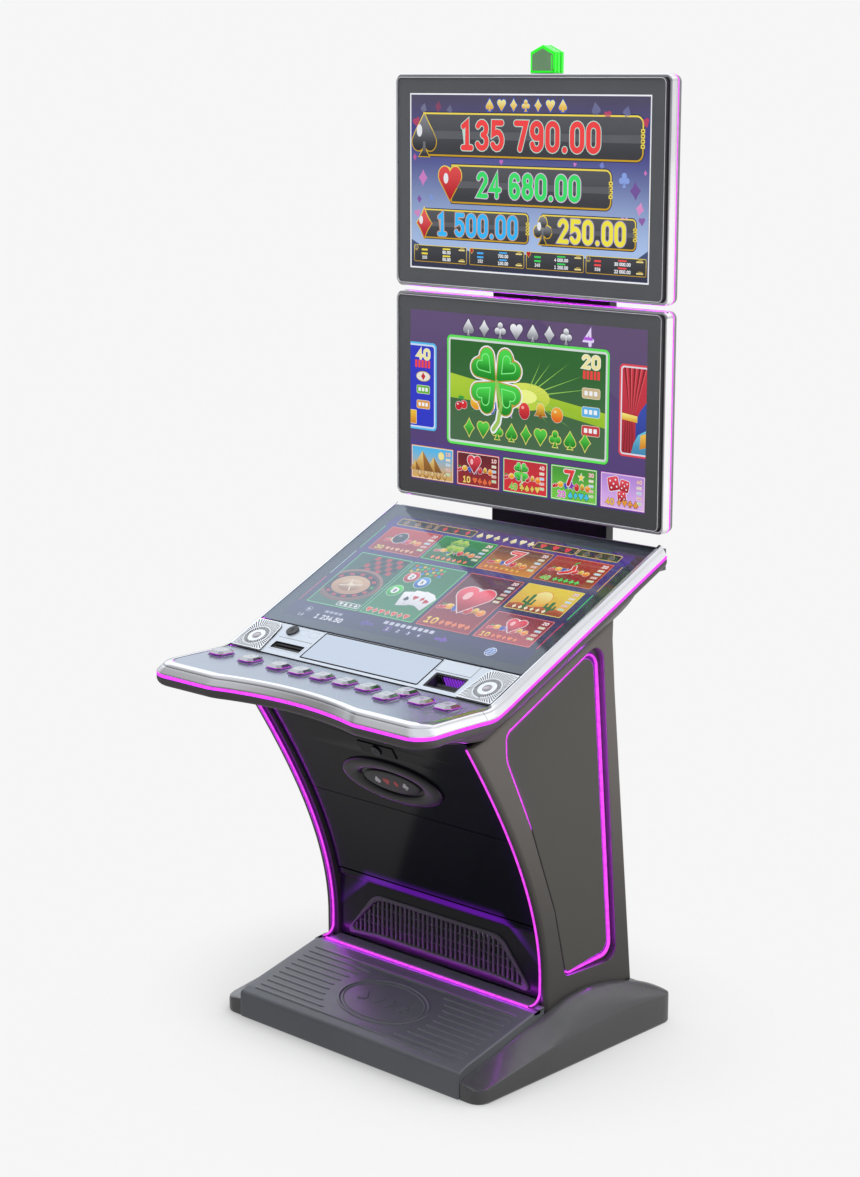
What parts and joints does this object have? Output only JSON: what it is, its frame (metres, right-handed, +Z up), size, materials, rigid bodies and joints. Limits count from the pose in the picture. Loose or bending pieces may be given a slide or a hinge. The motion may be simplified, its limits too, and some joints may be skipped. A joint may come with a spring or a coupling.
{
  "type": "slot machine",
  "caption": "Slant-top electronic slot machine: curved cabinet with lit edges, chrome-rimmed button console, sloped playing screen, upright monitors on a mast and a beacon on top.",
  "frame": {"origin": "on the floor, at the centre of the base", "axes": "+Z up, -Y towards the player, +X to the player's right"},
  "size_m": [0.7012, 0.7436, 1.8364],
  "materials": {
    "base_slate": "satin dark slate with fine grain",
    "tread_slate": "satin blue-grey with raised ribs",
    "shell_grey": "warm metallic grey, satin",
    "panel_grey": "darker olive grey, satin",
    "led_magenta": "lit diffuser strip",
    "door_gloss": "near-black gloss",
    "emblem_gloss": "black gloss oval",
    "kick_black": "dark satin",
    "grille_grey": "dark grey moulded slats",
    "lock_steel": "turned steel",
    "sheet_dark": "powder coat",
    "fan_black": "moulded black",
    "zinc_sheet": "zinc-plated sheet",
    "unit_black": "moulded black",
    "tub_grey": "warm grey satin",
    "lip_silver": "silver satin",
    "chrome": "polished",
    "bar_grey": "satin",
    "deck_silver": "fine satin, cool",
    "strip_silver": "light satin",
    "speaker_black": "paper cone and frame",
    "cover_glass": "dark tinted cover glass",
    "display": "lit display panel",
    "button_chrome": "chromed octagonal frame with clear window",
    "monitor_grey": "grey satin back shell",
    "mast_black": "black satin",
    "beacon_black": "moulded black",
    "beacon_green": "clear green moulding"
  },
  "bodies": {
    "cabinet": {"base_plinth": "base_slate", "tread_cover": "tread_slate", "side_shell_left": "shell_grey", "side_shell_right": "shell_grey", "side_panels": "panel_grey", "side_leds": "led_magenta", "front_led": "led_magenta", "console_led": "led_magenta", "monitor_leds": "led_magenta", "button_lamps": "led_magenta", "upper_front_panel": "door_gloss", "front_emblem": "emblem_gloss", "kick_panel": "kick_black", "vent_grille": "grille_grey", "hinge_pins": "lock_steel", "rear_wall": "sheet_dark", "monitor_brackets": "sheet_dark", "fan_frame": "fan_black", "inner_shelf": "zinc_sheet", "logic_box": "zinc_sheet", "power_supply": "zinc_sheet", "cash_box": "zinc_sheet", "bill_validator": "unit_black", "note_bezel": "unit_black", "console_tub": "tub_grey", "console_lip": "lip_silver", "chrome_rim": "chrome", "monitor_trims": "chrome", "rear_bar": "bar_grey", "deck_plate": "deck_silver", "strip_panel": "strip_silver", "centre_panel": "strip_silver", "speaker_grilles": "strip_silver", "speakers": "speaker_black", "monitor_glasses": "cover_glass", "monitor_lcds": "display", "monitor_shells": "monitor_grey", "mast": "mast_black", "beacon_base": "beacon_black", "beacon_lens": "beacon_green"},
    "front_door": {"front_door": "door_gloss"},
    "front_lock": {"front_lock": "lock_steel"},
    "rear_door": {"rear_door": "sheet_dark"},
    "rear_lock": {"rear_lock": "lock_steel"},
    "lid": {"screen_glass": "cover_glass", "screen_lcd": "display", "lid_frame": "bar_grey"},
    "fan_rotor": {"fan_rotor": "fan_black"},
    "key_switch": {"key_switch": "lock_steel"},
    "button_01": {"button_01": "button_chrome"},
    "button_02": {"button_02": "button_chrome"},
    "button_03": {"button_03": "button_chrome"},
    "button_04": {"button_04": "button_chrome"},
    "button_05": {"button_05": "button_chrome"},
    "button_06": {"button_06": "button_chrome"},
    "button_07": {"button_07": "button_chrome"},
    "button_08": {"button_08": "button_chrome"},
    "button_09": {"button_09": "button_chrome"},
    "button_10": {"button_10": "button_chrome"},
    "button_11": {"button_11": "button_chrome"}
  },
  "joints": [
    {"name": "front_door_hinge", "type": "hinge", "parent": "cabinet", "child": "front_door", "pos_m": [0, -0.033, 0.24], "axis": [1, 0, 0], "range_deg": [0, 75]},
    {"name": "front_lock_turn", "type": "hinge", "parent": "cabinet", "child": "front_lock", "pos_m": [0, -0.181, 0.577], "axis": [0, 0.8572, 0.515], "range_deg": [0, 90]},
    {"name": "rear_door_hinge", "type": "hinge", "parent": "cabinet", "child": "rear_door", "pos_m": [-0.205, 0.18171, 0.33856], "axis": [0, -0.1054, 0.9944], "range_deg": [0, 110]},
    {"name": "rear_lock_turn", "type": "hinge", "parent": "rear_door", "child": "rear_lock", "pos_m": [0.17, 0.18271, 0.33866], "axis": [0, -0.9944, -0.1054], "range_deg": [0, 90]},
    {"name": "lid_hinge", "type": "hinge", "parent": "cabinet", "child": "lid", "pos_m": [0, 0.21435, 0.92795], "axis": [-1, 0, 0], "range_deg": [0, 40]},
    {"name": "fan_spin", "type": "hinge", "parent": "cabinet", "child": "fan_rotor", "pos_m": [0, 0.14171, 0.60784], "axis": [0, 0.9944, 0.1054], "continuous": true},
    {"name": "key_turn", "type": "hinge", "parent": "cabinet", "child": "key_switch", "pos_m": [-0.227, -0.1849, 0.75722], "axis": [0, -0.4226, 0.9063], "range_deg": [0, 90]},
    {"name": "button_01_press", "type": "slide", "parent": "cabinet", "child": "button_01", "axis": [0, 0, -1], "range_m": [0, 0.0025]},
    {"name": "button_02_press", "type": "slide", "parent": "cabinet", "child": "button_02", "axis": [0, 0, -1], "range_m": [0, 0.0025]},
    {"name": "button_03_press", "type": "slide", "parent": "cabinet", "child": "button_03", "axis": [0, 0, -1], "range_m": [0, 0.0025]},
    {"name": "button_04_press", "type": "slide", "parent": "cabinet", "child": "button_04", "axis": [0, 0, -1], "range_m": [0, 0.0025]},
    {"name": "button_05_press", "type": "slide", "parent": "cabinet", "child": "button_05", "axis": [0, 0, -1], "range_m": [0, 0.0025]},
    {"name": "button_06_press", "type": "slide", "parent": "cabinet", "child": "button_06", "axis": [0, 0, -1], "range_m": [0, 0.0025]},
    {"name": "button_07_press", "type": "slide", "parent": "cabinet", "child": "button_07", "axis": [0, 0, -1], "range_m": [0, 0.0025]},
    {"name": "button_08_press", "type": "slide", "parent": "cabinet", "child": "button_08", "axis": [0, 0, -1], "range_m": [0, 0.0025]},
    {"name": "button_09_press", "type": "slide", "parent": "cabinet", "child": "button_09", "axis": [0, 0, -1], "range_m": [0, 0.0025]},
    {"name": "button_10_press", "type": "slide", "parent": "cabinet", "child": "button_10", "axis": [0, 0, -1], "range_m": [0, 0.0025]},
    {"name": "button_11_press", "type": "slide", "parent": "cabinet", "child": "button_11", "axis": [0, 0, -1], "range_m": [0, 0.0025]}
  ]
}
